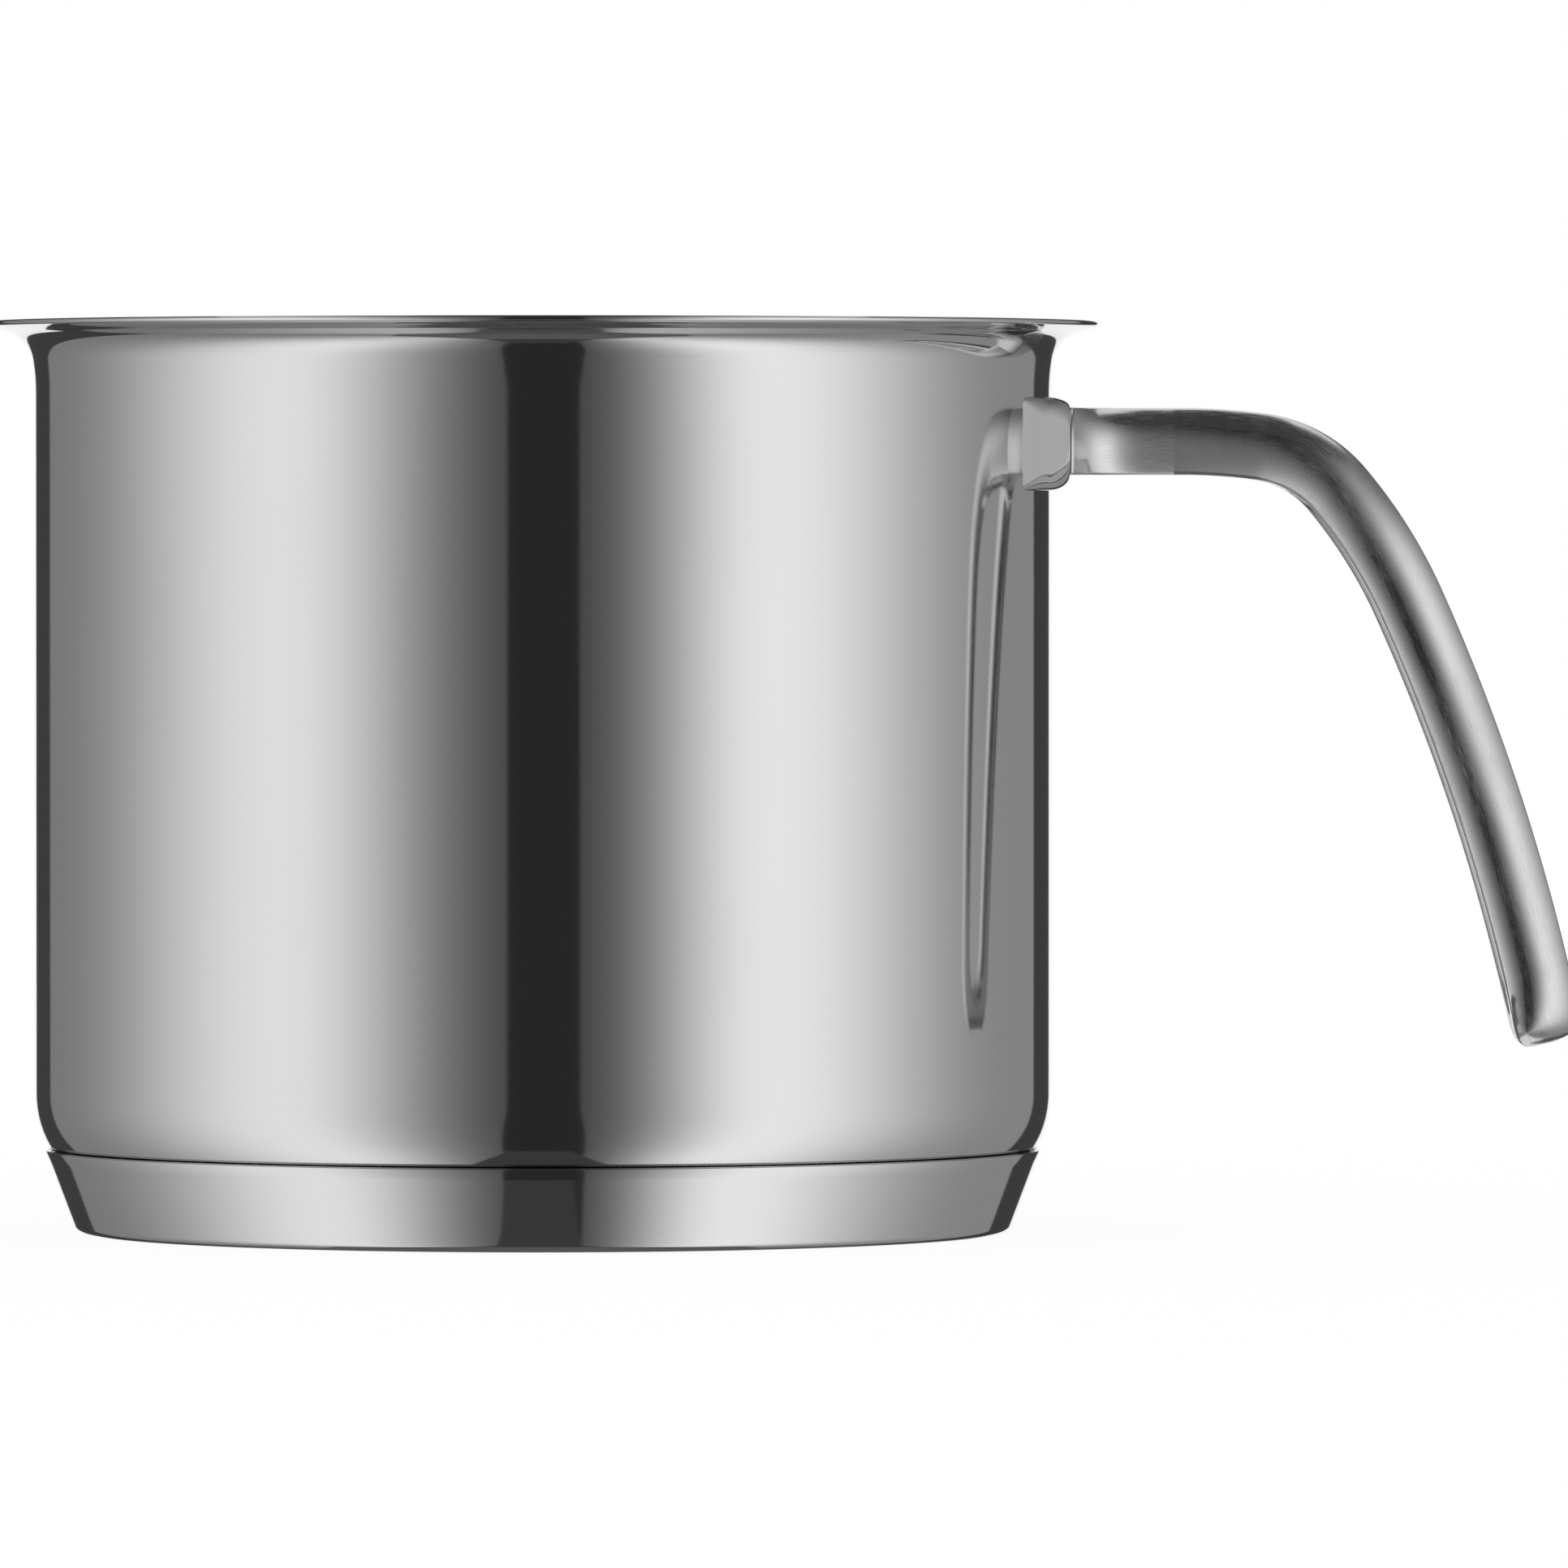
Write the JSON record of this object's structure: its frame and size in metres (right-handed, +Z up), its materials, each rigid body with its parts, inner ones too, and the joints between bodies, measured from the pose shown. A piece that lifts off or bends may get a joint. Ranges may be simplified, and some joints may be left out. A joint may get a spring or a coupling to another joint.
{
  "type": "milk pan",
  "caption": "Deep round saucepan with a flared pouring rim, a stepped sandwich base and one cast loop handle fixed near the rim and free at its lower end.",
  "frame": {"origin": "on the pan's axis, on the flat underside of the base", "axes": "+Z up along the pan's axis, +X from the axis towards the handle"},
  "size_m": [0.2219, 0.1552, 0.1269],
  "materials": {
    "polished_steel": "mirror polished",
    "satin_steel": "fine satin polish",
    "core_aluminium": "rolled"
  },
  "bodies": {
    "root": {"pot_body": "polished_steel", "base_core": "core_aluminium", "base_cap": "polished_steel", "handle_foot": "polished_steel", "handle_loop": "satin_steel"}
  },
  "joints": []
}
